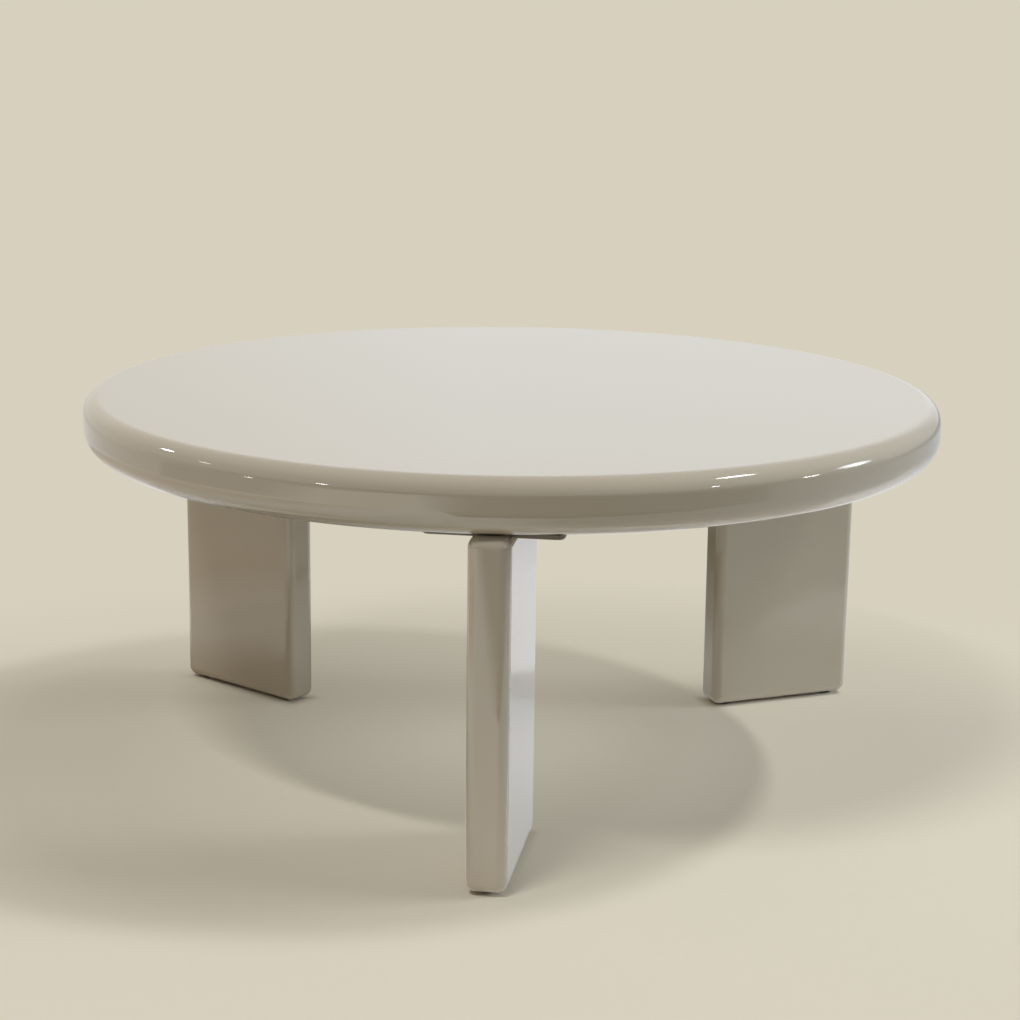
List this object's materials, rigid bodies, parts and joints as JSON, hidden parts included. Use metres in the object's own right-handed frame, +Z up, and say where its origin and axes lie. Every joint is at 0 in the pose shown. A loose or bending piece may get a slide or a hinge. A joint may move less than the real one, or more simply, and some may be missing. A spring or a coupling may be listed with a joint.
{
  "type": "round cocktail table",
  "caption": "Low round table with a thick glossy lacquered top on slab legs, bolted on through steel plates, with screw-in levelling glides.",
  "frame": {"origin": "on the floor, under the centre of the round top", "axes": "+Z up; -Y towards the leg that stands in front in the picture; +X to the right in the picture"},
  "size_m": [1.0159, 1.016, 0.445],
  "materials": {
    "lacquer": "high gloss taupe lacquer",
    "underside_coat": "matt sealer",
    "core_wood": "raw board",
    "plate_steel": "powder coat",
    "zinc_steel": "zinc plate",
    "glide_nylon": "moulded"
  },
  "bodies": {
    "table": {"top_skin": "lacquer", "rim_ring": "lacquer", "underside_panel": "underside_coat", "core_hub": "core_wood", "core_rib_front": "core_wood", "core_rib_opposite_front": "core_wood", "leg_block_front": "core_wood", "top_inserts_front": "zinc_steel", "mounting_plate_front": "plate_steel", "plate_bolts_front": "zinc_steel", "leg_screws_front": "zinc_steel", "leg_front": "lacquer", "glide_inserts_front": "zinc_steel", "core_rib_right": "core_wood", "core_rib_opposite_right": "core_wood", "leg_block_right": "core_wood", "top_inserts_right": "zinc_steel", "mounting_plate_right": "plate_steel", "plate_bolts_right": "zinc_steel", "leg_screws_right": "zinc_steel", "leg_right": "lacquer", "glide_inserts_right": "zinc_steel", "core_rib_left": "core_wood", "core_rib_opposite_left": "core_wood", "leg_block_left": "core_wood", "top_inserts_left": "zinc_steel", "mounting_plate_left": "plate_steel", "plate_bolts_left": "zinc_steel", "leg_screws_left": "zinc_steel", "leg_left": "lacquer", "glide_inserts_left": "zinc_steel"},
    "glide_front_outer": {"glide_base_front_outer": "glide_nylon", "glide_stem_front_outer": "zinc_steel"},
    "glide_front_inner": {"glide_base_front_inner": "glide_nylon", "glide_stem_front_inner": "zinc_steel"},
    "glide_right_outer": {"glide_base_right_outer": "glide_nylon", "glide_stem_right_outer": "zinc_steel"},
    "glide_right_inner": {"glide_base_right_inner": "glide_nylon", "glide_stem_right_inner": "zinc_steel"},
    "glide_left_outer": {"glide_base_left_outer": "glide_nylon", "glide_stem_left_outer": "zinc_steel"},
    "glide_left_inner": {"glide_base_left_inner": "glide_nylon", "glide_stem_left_inner": "zinc_steel"}
  },
  "joints": [
    {"name": "level_front_outer", "type": "slide", "parent": "table", "child": "glide_front_outer", "axis": [0, 0, -1], "range_m": [0, 0.01]},
    {"name": "level_front_inner", "type": "slide", "parent": "table", "child": "glide_front_inner", "axis": [0, 0, -1], "range_m": [0, 0.01]},
    {"name": "level_right_outer", "type": "slide", "parent": "table", "child": "glide_right_outer", "axis": [0, 0, -1], "range_m": [0, 0.01]},
    {"name": "level_right_inner", "type": "slide", "parent": "table", "child": "glide_right_inner", "axis": [0, 0, -1], "range_m": [0, 0.01]},
    {"name": "level_left_outer", "type": "slide", "parent": "table", "child": "glide_left_outer", "axis": [0, 0, -1], "range_m": [0, 0.01]},
    {"name": "level_left_inner", "type": "slide", "parent": "table", "child": "glide_left_inner", "axis": [0, 0, -1], "range_m": [0, 0.01]}
  ]
}
